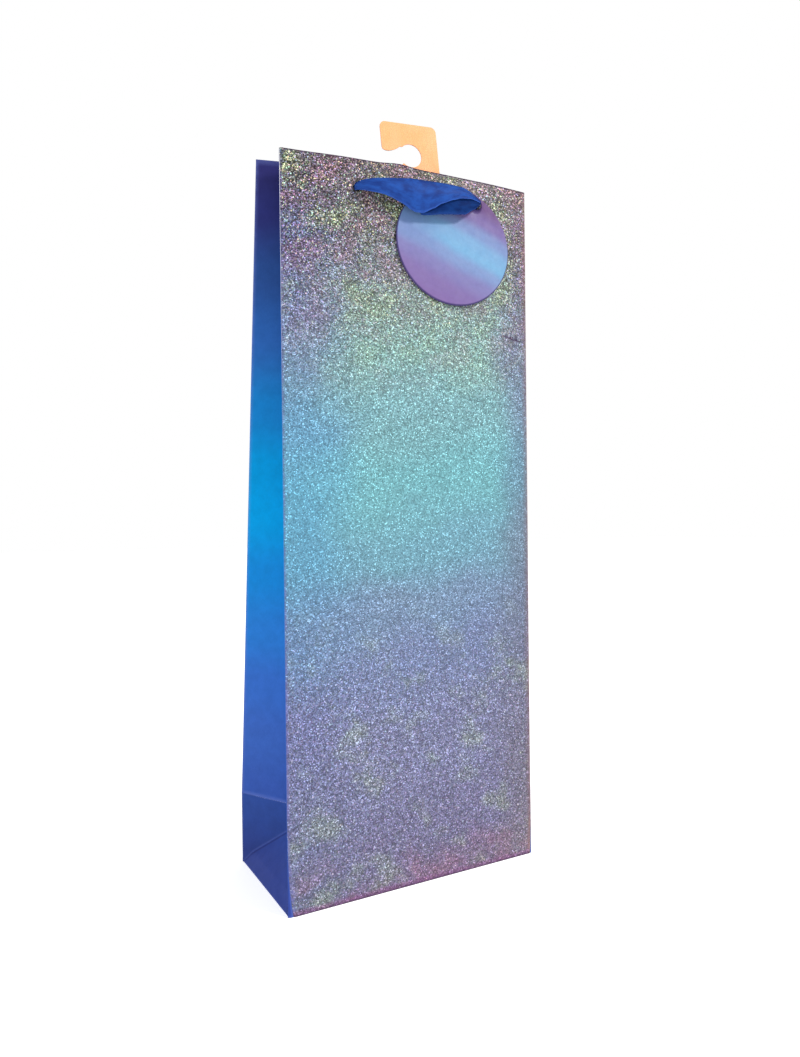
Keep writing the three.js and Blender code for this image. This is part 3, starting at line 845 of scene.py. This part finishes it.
def make_side(hand):
    """Both halves of a side above the cross crease, as one sheet that ends tucked in behind the foot."""
    name = side_name(hand)
    heights = steps([CREASE - SIDE_TUCK, CREASE, CREASE + 2 * MM, FRONT.height - 3 * MM, FRONT.height], 4 * MM)

    def point(along, z):
        p = side_surface(hand, along, z)
        below = max(CREASE - z, 0.0)
        p.z -= below
        p.x -= hand * (0.35 * MM * smooth(0, 0.5 * MM, below) + below * 0.10)
        return p

    def flat(along, z):
        return ((along - 1) * HALF_DEPTH, z, 0)

    def edge(along, z):
        centre = 0.7 * bell(along, 1, 0.025)
        wall_fold = edge_mask(min(along, 2 - along), 0.03)
        top = 0.6 * edge_mask(FRONT.height - z, 0.8 * MM)
        bottom = 0.8 * bell(z, CREASE, 0.5 * MM)
        return max(centre, wall_fold, top, bottom)

    obj = grid(f"{name}_side", side_alongs(), heights, point, [SATIN, WHITE_PAPER], flat, edge, flip=hand < 0)
    thicken(obj, PAPER, rim=0)
    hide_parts(f"{name}_gusset_front_half", f"{name}_gusset_back_half")
    start, end = blend_span(hand)
    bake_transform(obj)
    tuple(start)
    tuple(end)


def blend_span(hand):
    """From the front wall's mouth corner to the back wall's, tilted so that the crease stays halfway."""
    index = 0 if hand < 0 else 1
    near, far = FRONT.mouth[index].y, BACK.mouth[index].y
    low, high = SIDE_CREASES[hand]
    slope = (high.y - low.y) / (high.z - low.z)
    across = Vector((0, 1, -slope)).normalized()
    middle = Vector((0, (near + far) / 2, high.z))
    reach = abs(far - near) / 2 + 0.3 * MM
    return tuple(middle - across * reach), tuple(middle + across * reach)


def make_side_hem(hand):
    """The side's turned-in top edge, which follows the side's own surface."""
    name = side_name(hand)
    heights = steps([FRONT.height - HEM_DEPTH, FRONT.height - HEM_EDGE], 3 * MM)
    alongs = [a for a in side_alongs() if 0.34 < a < 1.66]

    def point(along, z):
        p = side_surface(hand, along, z)
        beside = smooth(0.0, 0.08, abs(along - 1))
        p.y += math.copysign(HEM_GAP, along - 1) * beside
        p.x -= hand * lerp(1.3, 0.7, beside) * HEM_GAP
        return p

    obj = grid(f"{name}_side_hem", alongs, heights, point, [SATIN, WHITE_PAPER],
               lambda a, z: ((a - 1) * HALF_DEPTH, z, 0),
               lambda a, z: edge_mask(z - FRONT.height + HEM_DEPTH, 0.9 * MM), flip=hand > 0)
    thicken(obj, PAPER)
    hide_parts(f"{name}_gusset_front_hem", f"{name}_gusset_back_hem")
    start, end = blend_span(hand)
    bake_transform(obj)
    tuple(start)
    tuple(end)


APEX = 0.75                   # how far up the foot its two diagonal folds meet, as a share of its height
BOARD_SHARE = 0.2             # up to here the loose base board can stand against the triangle
LEAN_RATE = (1 - BOARD_SHARE) / (APEX - BOARD_SHARE)
WRAP = 0.1                    # the span of u that turns round the front corner
FOOT_STEPS = 72


def lean_in(share):
    """How far the foot's triangle has turned in, at a share of its height: slower where the board stands."""
    return share if share < BOARD_SHARE else BOARD_SHARE + (share - BOARD_SHARE) * LEAN_RATE


def fold_line(u):
    """Height share of the diagonal fold, a share u of the way from front to back."""
    turned = 2 * min(max(u, 0.0), 1 - u)
    return turned if turned < BOARD_SHARE else BOARD_SHARE + (turned - BOARD_SHARE) / LEAN_RATE


def make_lower_side(hand):
    """Below the cross crease: a triangle that stands on the base, and two that turn in to the crease."""
    name = side_name(hand)
    low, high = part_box(f"{name}_gusset_lower")
    outer = low[0] if hand < 0 else high[0]
    reach = abs(SIDE_CREASES[hand][0].x - outer)
    near, far = FRONT.base[0].y + FOLD_RADIUS, BACK.base[0].y - FOLD_RADIUS

    def point(u, v):
        """u runs front to back, v up; the facets meet on the two lines from the base corners to the tip."""
        z = v * CREASE
        if u < 0:
            turn = -u / WRAP * math.pi / 2
            return Vector((outer - hand * (corner_shift(hand, z) * (1 - math.cos(turn)) + 0.05 * MM),
                           near - FOLD_RADIUS * 0.7 * math.sin(turn), z))
        depth = reach * min(lean_in(v), 2 * u, 2 * (1 - u))
        blunt = 0.10 * MM * bell(v, fold_line(u), 0.05)
        base_edge = 0.5 * MM * edge_mask(z, 0.7 * MM) ** 2
        return Vector((outer - hand * (depth - blunt + base_edge), lerp(near, far, u), z))

    def flat(u, v):
        # The third place marks the turned-in facets, which get painted shade.
        turned_in = smooth(-0.01, 0.01, v - fold_line(u)) if u >= 0 else 0.0
        return ((u - 0.5) * 2 * HALF_DEPTH, v * CREASE, turned_in)

    def edge(u, v):
        if u < 0:
            return 0.5 * edge_mask(v * CREASE, 1.2 * MM) + 2.0 * max(0.0, -u / WRAP - 0.6)
        above = v - fold_line(u)
        # A rubbed light line on the diagonal fold, with painted shade just below it.
        diagonal = 0.45 * bell(above, 0, 0.014) - 0.8 * bell(above, -0.035, 0.014)
        if diagonal < -0.1:
            return diagonal
        return max(diagonal, 0.8 * edge_mask(v * CREASE, 0.8 * MM), 0.9 * edge_mask(CREASE * (1 - v), 0.45 * MM),
                   0.5 * edge_mask(min(u, 1 - u) * 2 * HALF_DEPTH, 0.5 * MM))

    vs = [i / FOOT_STEPS for i in range(FOOT_STEPS + 1)]
    us = [WRAP * (i / 8 - 1) for i in range(8)] + vs
    obj = grid(f"{name}_side_foot", us, vs, point, [SATIN, WHITE_PAPER], flat, edge, flip=hand < 0)
    thicken(obj, PAPER)
    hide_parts(f"{name}_gusset_lower")
    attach(obj, "bag")


# ---- Pieces: ribbons and knots ------------------------------------------------------------

# Heights in millimetres above the line of the holes, at shares of the way from the left hole to the right.
RIBBON_TOP = [(0.0, 0.2), (0.03, 1.0), (0.065, 1.6), (0.12, 2.3), (0.24, 2.9), (0.4, 3.8), (0.6, 4.1), (0.72, 4.3),
              (0.83, 4.3), (0.88, 3.4), (0.93, 2.0), (0.97, 0.9), (1.0, 0.6)]
RIBBON_BOTTOM = [(0.0, -2.9), (0.03, -3.4), (0.12, -4.3), (0.19, -5.1), (0.25, -6.2), (0.31, -7.8), (0.36, -9.2),
                 (0.40, -10.8), (0.44, -11.7), (0.5, -12.0), (0.56, -11.6), (0.64, -10.6), (0.75, -9.7),
                 (0.85, -8.7), (0.93, -5.2), (1.0, -1.0)]
RIBBON_LIP = [(0.0, -2.9), (0.44, -11.7), (0.5, -11.6), (0.58, -8.9), (0.64, -6.2), (0.735, -3.4), (0.81, -1.6),
              (0.9, -0.6), (1.0, -0.3)]
LAYER_ROWS = 14               # of faces across each of a ribbon's two layers
KNOT_LENGTH = 5.2 * MM
NECK_RADIUS = 1.25 * MM
NECK_MOUTH = 1.1 * MM         # the band turns in the hole's mouth, so the neck stays out of it
KNOT_STEPS = 96


def ribbon_section(run):
    """(top, lip of the front layer, bottom of the layer behind), from the line of the holes."""
    top = curve(run, RIBBON_TOP)
    bottom = curve(run, RIBBON_BOTTOM)
    lip = bottom if run < 0.46 else max(bottom, curve(run, RIBBON_LIP))
    behind = lerp(top - 0.8, bottom, smooth(0.40, 0.50, run))
    return top * MM, lip * MM, behind * MM


def make_ribbon(name, node, wall, holes, body, mirror):
    """A ribbon from hole to hole: it stands off the wall, and its right half is folded double."""
    left, right = reversed(holes) if mirror else holes
    out, up = wall.out(), wall.up()
    along = (right - left).normalized()
    left, right = left - along * (1.6 * MM), right + along * (0.8 * MM)
    length = (right - left).length
    runs = steps([0.0, 0.004, 0.02, 0.06, 0.12, 0.88, 0.94, 0.98, 0.996, 1.0], 0.012)
    across = [i / (2 * LAYER_ROWS) for i in range(2 * LAYER_ROWS + 1)]

    def point(run, t):
        top, lip, behind = ribbon_section(run)
        stand = RIBBON_BULGE * math.sqrt(max(1 - (2 * run - 1) ** 2, 0.0)) + 0.6 * MM * math.exp(-(1 - run) / 0.03)
        ends = math.exp(-run / 0.10) + math.exp(-(1 - run) / 0.12)
        if t <= 0.5:
            share = t / 0.5
            height = lerp(lip, top, share)
            curl = 0.8 * MM * math.sin(math.pi * share) * (1 - 0.5 * ends)
            depth = curl + 0.5 * MM * (1 - share) ** 2 * smooth(0.45, 0.7, run)
        else:
            share = (t - 0.5) / 0.5
            height = lerp(top, behind, share)
            gap = 1.3 * MM * math.sin(math.pi * min(share * 1.2, 1.0) * 0.5)
            depth = -gap * (1 - 0.45 * ends) + 0.5 * MM * share * smooth(0.5, 0.8, run)
        gathered = math.exp(-run / 0.08) * 0.8 + math.exp(-(1 - run) / 0.09) * 1.5 + 0.3 * smooth(0.66, 0.86, run)
        pleat = 0.42 * MM * math.sin(t * 6.5 * math.pi + 3 * run) * gathered
        ripple = 0.35 * MM * wobble(run * HOLE_SPACING, t * 10 * MM, 11 * MM, 7.0)
        settle = smooth(0.0, 0.10, run) * smooth(1.0, 0.90, run)
        drop = min(max(-height / (12 * MM), 0.0), 1.0)
        lean = 2.4 * MM * drop ** 1.5 * (stand / RIBBON_BULGE) ** 2
        return (left.lerp(right, run) + out * (stand - lean + (depth + ripple) * settle + pleat * 0.5)
                + up * height)

    def flat(run, t):
        return (run * length, t * RIBBON_WIDTH, 0)

    def edge(run, t):
        return max(edge_mask(t, 0.035), edge_mask(1 - t, 0.05))

    obj = grid(name, runs, across, point, [RIBBON, RIBBON_BEHIND_PAINTED_SHADE], flat, edge, flip=(wall.side > 0) != mirror)
    columns = len(runs) - 1
    # The layer behind gets the matte reverse, with painted shade.
    for polygon in obj.data.polygons:
        polygon.material_index = 1 if polygon.index // columns >= LAYER_ROWS else 0
    thicken(obj, RIBBON_THICKNESS, inner=0, rim=0, offset=0.0, even=False)
    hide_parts(node)
    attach(obj, body)


def sweep(path, section, count):
    """Rings of section(angle) around a path, as (points, faces)."""
    points = []
    for index, here in enumerate(path):
        ahead = path[min(index + 1, len(path) - 1)] - path[max(index - 1, 0)]
        ahead.normalize()
        side = ahead.cross(Vector((0.31, 0.17, 0.94))).normalized()
        lift = side.cross(ahead)
        for step in range(count):
            a, b = section(2 * math.pi * step / count)
            points.append(here + side * a + lift * b)
    faces = grid_faces(count, len(path), closed=True)
    faces.append(tuple(range(count))[::-1])
    faces.append(tuple(range(len(points) - count, len(points))))
    return points, faces


def make_knot(node, inward, body):
    """A gathered ribbon end that goes through the wall and is tied in a small knot inside it."""
    low, high = (Vector(corner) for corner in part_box(node))
    turn = inward.to_track_quat("Z", "Y").to_matrix()
    length = abs((high - low).dot(inward))
    start = (low + high) / 2 - inward * (length / 2)
    neck_length = length - KNOT_LENGTH
    neck = [start + inward * lerp(NECK_MOUTH, neck_length + 1.6 * MM, i / 10) for i in range(11)]
    centre = start + inward * (neck_length + 2.5 * MM)

    def pleated(angle):
        radius = NECK_RADIUS * (1 + 0.28 * math.cos(5 * angle) + 0.12 * math.sin(3 * angle))
        return radius * math.cos(angle), radius * math.sin(angle)

    def trefoil(t):
        x, y = math.sin(t) + 1.6 * math.sin(2 * t), math.cos(t) - 1.6 * math.cos(2 * t)
        return turn @ Vector((x * 0.86 * MM, y * 0.86 * MM, -math.sin(3 * t) * 1.15 * MM)) + centre

    def strap(angle):
        crease = 1 + 0.15 * math.cos(4 * angle)
        return 1.15 * MM * math.cos(angle) * crease, 0.62 * MM * math.sin(angle) * crease

    points, faces = sweep(neck, pleated, 40)
    path = [trefoil(2 * math.pi * i / KNOT_STEPS) for i in range(KNOT_STEPS + 1)]
    more, more_faces = sweep(path, strap, 20)
    faces += [tuple(i + len(points) for i in face) for face in more_faces]
    points += more
    flat = [((p - start).dot(inward), math.atan2((p - start).x, (p - start).z) * 2 * MM, 0) for p in points]
    obj = new_mesh(f"{node}_tied", points, faces, [RIBBON], flat, [0.0] * len(points))
    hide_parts(node)
    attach(obj, body)


# ---- Pieces: tag and hang tab -------------------------------------------------------------

def make_tag():
    """A round card with soft cut edges and a punched hole, hung on the right end of the front ribbon."""
    joint = JOINTS["tag_swing"]
    hang, axis = Vector(joint["pos_m"]), Vector(joint["axis"]).normalized()
    points = node_points("gift_tag")
    front_face = max((p - hang).dot(axis) for p in points)
    flat_points = [p - axis * (p - hang).dot(axis) for p in points]
    centre = Vector([(min(p[i] for p in flat_points) + max(p[i] for p in flat_points)) / 2 for i in range(3)])
    radius = max((p - centre).length for p in flat_points)
    right = Vector((1, 0, 0))
    right = (right - axis * right.dot(axis)).normalized()
    up = axis.cross(right)
    if up.z < 0:
        up = -up
    hole = Vector(((hang - centre).dot(right), (hang - centre).dot(up)))
    shares = [i / 26 for i in range(26)] + [0.976, 0.987, 1.0]
    rings, spokes = len(shares) - 1, 128
    soft = 0.16 * MM

    verts, flat, edge = [], [], []
    for layer in (0, 1):
        for ring, share in enumerate(shares):
            for spoke in range(spokes):
                angle = 2 * math.pi * spoke / spokes
                direction = Vector((math.cos(angle), math.sin(angle)))
                inner = hole + direction * TAG_HOLE_RADIUS
                b = inner.dot(direction)
                far = -b + math.sqrt(max(b * b - inner.dot(inner) + radius * radius, 0))
                p = inner + direction * far * share ** 0.85
                near_rim = radius - p.length
                near_hole = (p - hole).length - TAG_HOLE_RADIUS
                drop = sum(soft * (1 - d / soft) ** 2 for d in (near_rim, near_hole) if d < soft)
                curl = 0.35 * MM * (p.x / radius) ** 2 - 0.15 * MM * (p.y / radius)
                depth = front_face - drop if layer == 0 else front_face - TAG_THICKNESS + drop
                verts.append(centre + right * p.x + up * p.y + axis * (depth + curl - 0.2 * MM))
                flat.append((p.x, p.y, 0))
                # The rim rings and the hole's ring carry painted shade.
                edge.append(1.0 if ring >= rings - 1 or ring == 0 else 0.0)
    count = (rings + 1) * spokes
    faces = grid_faces(spokes, rings + 1, closed=True)
    faces += grid_faces(spokes, rings + 1, closed=True, flip=True, first=count)
    outer = rings * spokes
    for spoke in range(spokes):
        beside = (spoke + 1) % spokes
        faces.append((outer + spoke, count + outer + spoke, count + outer + beside, outer + beside)[::-1])
        faces.append((spoke, beside, count + beside, count + spoke)[::-1])
    obj = new_mesh("round_tag", verts, faces, [TAG_CARD], flat, edge)
    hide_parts("gift_tag")
    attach(obj, "tag")


def set_material(obj, material):
    obj.data.materials.clear()
    obj.data.materials.append(material)


def make_hang_tab():
    """The hook tab: its CAD outline with softened edges."""
    node = frame["nodes"]["hang_tab"]
    obj = node.copy()
    obj.data = node.data.copy()
    obj.name = "hook_tab"
    obj.parent = None
    obj.matrix_world = Matrix.Identity(4)
    bpy.context.scene.collection.objects.link(obj)
    set_material(obj, CLEAR)
    merge = obj.modifiers.new("merge", "WELD")
    merge.merge_threshold = 1e-6
    bevel = obj.modifiers.new("soft", "BEVEL")
    bevel.width = 0.12 * MM
    bevel.segments = 3
    bevel.limit_method = "ANGLE"
    apply_modifiers(obj)
    outward = FRONT.out()
    rim = obj.data.attributes.new("edge", "FLOAT", "FACE")
    rim.data.foreach_set("value", [0.0 if abs(f.normal.dot(outward)) > 0.9 else 1.0 for f in obj.data.polygons])
    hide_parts("hang_tab")
    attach(obj, "bag")


# ---- Floor, light and camera --------------------------------------------------------------

FLOOR_REACH = 8.0
WORLD_STRENGTH = 0.68         # of the white world on the bag; the camera sees it at full strength
CAMERA_PLACE = (-0.1815, -0.3833, 0.1723)
CAMERA_RIGHT = (0.8553, -0.5179, -0.0139)
CAMERA_AHEAD = (0.5180, 0.8554, 0.0053)
CAMERA_LENS = 27.247


def make_floor():
    g = Graph("floor", Specular_IOR_Level=0.1, Emission_Color=grey(1.0), Emission_Strength=0.5)
    material = g.finish(g.mix(g.noise(g.body(), 400.0, 2.0), grey(0.95), grey(0.97)), 0.9)
    places = steps([-FLOOR_REACH, FLOOR_REACH], 0.5)
    points = [(x, y, CAD_BOX[0][2] - 0.02 * MM) for y in places for x in places]
    obj = new_mesh("studio_floor", points, grid_faces(len(places), len(places)), [material])


def area_light(name, place, target, size, power):
    data = bpy.data.lights.new(name, "AREA")
    data.shape = "DISK"
    data.size = size
    data.energy = power
    obj = bpy.data.objects.new(name, data)
    obj.location = place
    obj.rotation_euler = (target - place).to_track_quat("-Z", "Y").to_euler()
    bpy.context.scene.collection.objects.link(obj)


def make_light():
    middle = (Vector(CAD_BOX[0]) + Vector(CAD_BOX[1])) / 2
    area_light("key", middle + Vector((1.5, -2.4, 1.75)), middle, 0.6, 76)
    area_light("fill_left", middle + Vector((-1.9, -0.9, 0.7)), middle, 1.6, 12)
    world = bpy.data.worlds.new("studio")
    bpy.context.scene.world = world
    world.use_nodes = True
    tree = world.node_tree
    background = tree.nodes["Background"]
    background.inputs[0].default_value = grey(1.0)
    background.inputs[1].default_value = WORLD_STRENGTH
    bright = tree.nodes.new("ShaderNodeBackground")
    bright.inputs[0].default_value = grey(1.0)
    bright.inputs[1].default_value = 1.0
    path = tree.nodes.new("ShaderNodeLightPath")
    pick = tree.nodes.new("ShaderNodeMixShader")
    tree.links.new(path.outputs["Is Camera Ray"], pick.inputs[0])
    tree.links.new(background.outputs[0], pick.inputs[1])
    tree.links.new(bright.outputs[0], pick.inputs[2])
    tree.links.new(pick.outputs[0], tree.nodes["World Output"].inputs[0])


def make_camera():
    data = bpy.data.cameras.new("camera")
    data.sensor_width = 36
    data.sensor_fit = "AUTO"
    data.lens = CAMERA_LENS
    data.shift_x = -0.0623
    data.shift_y = -0.0044
    data.clip_start = 0.01
    camera = bpy.data.objects.new("camera", data)
    right = Vector(CAMERA_RIGHT).normalized()
    back = -Vector(CAMERA_AHEAD)
    back = (back - right * back.dot(right)).normalized()
    turn = Matrix((right, back.cross(right), back)).transposed().to_4x4()
    camera.matrix_world = Matrix.Translation(CAMERA_PLACE) @ turn
    bpy.context.scene.collection.objects.link(camera)
    bpy.context.scene.camera = camera


# ---- Build --------------------------------------------------------------------------------

make_camera()
make_walls()
mouth_fold("front_mouth_turn", FRONT, FRONT_HOLES, ["front_mouth_hem"], "bag")
mouth_fold("back_mouth_turn", BACK, BACK_HOLES, ["back_mouth_hem"], "back_wall")
for hand in (-1, 1):
    make_side(hand)
    make_side_hem(hand)
    make_lower_side(hand)
make_ribbon("front_ribbon_band", "front_ribbon", FRONT, FRONT_HOLES, "front_handle", False)
make_ribbon("back_ribbon_band", "back_ribbon", BACK, BACK_HOLES, "back_handle", True)
for side in ("left", "right"):
    make_knot(f"front_knot_{side}", -FRONT.out(), "bag")
    make_knot(f"back_knot_{side}", -BACK.out(), "back_wall")
make_tag()
make_hang_tab()
set_material(frame["nodes"]["hang_tab_pad"], GLUE)
for card in ("front_mouth_card", "back_mouth_card", "base_board"):
    set_material(frame["nodes"][card], GREY_BOARD)
for flap in ("bottom_flap_front", "bottom_flap_back", "bottom_flap_left", "bottom_flap_right", "side_seam_flap"):
    set_material(frame["nodes"][flap], WHITE_PAPER)
make_floor()
make_light()
bpy.context.scene.view_settings.view_transform = "Standard"
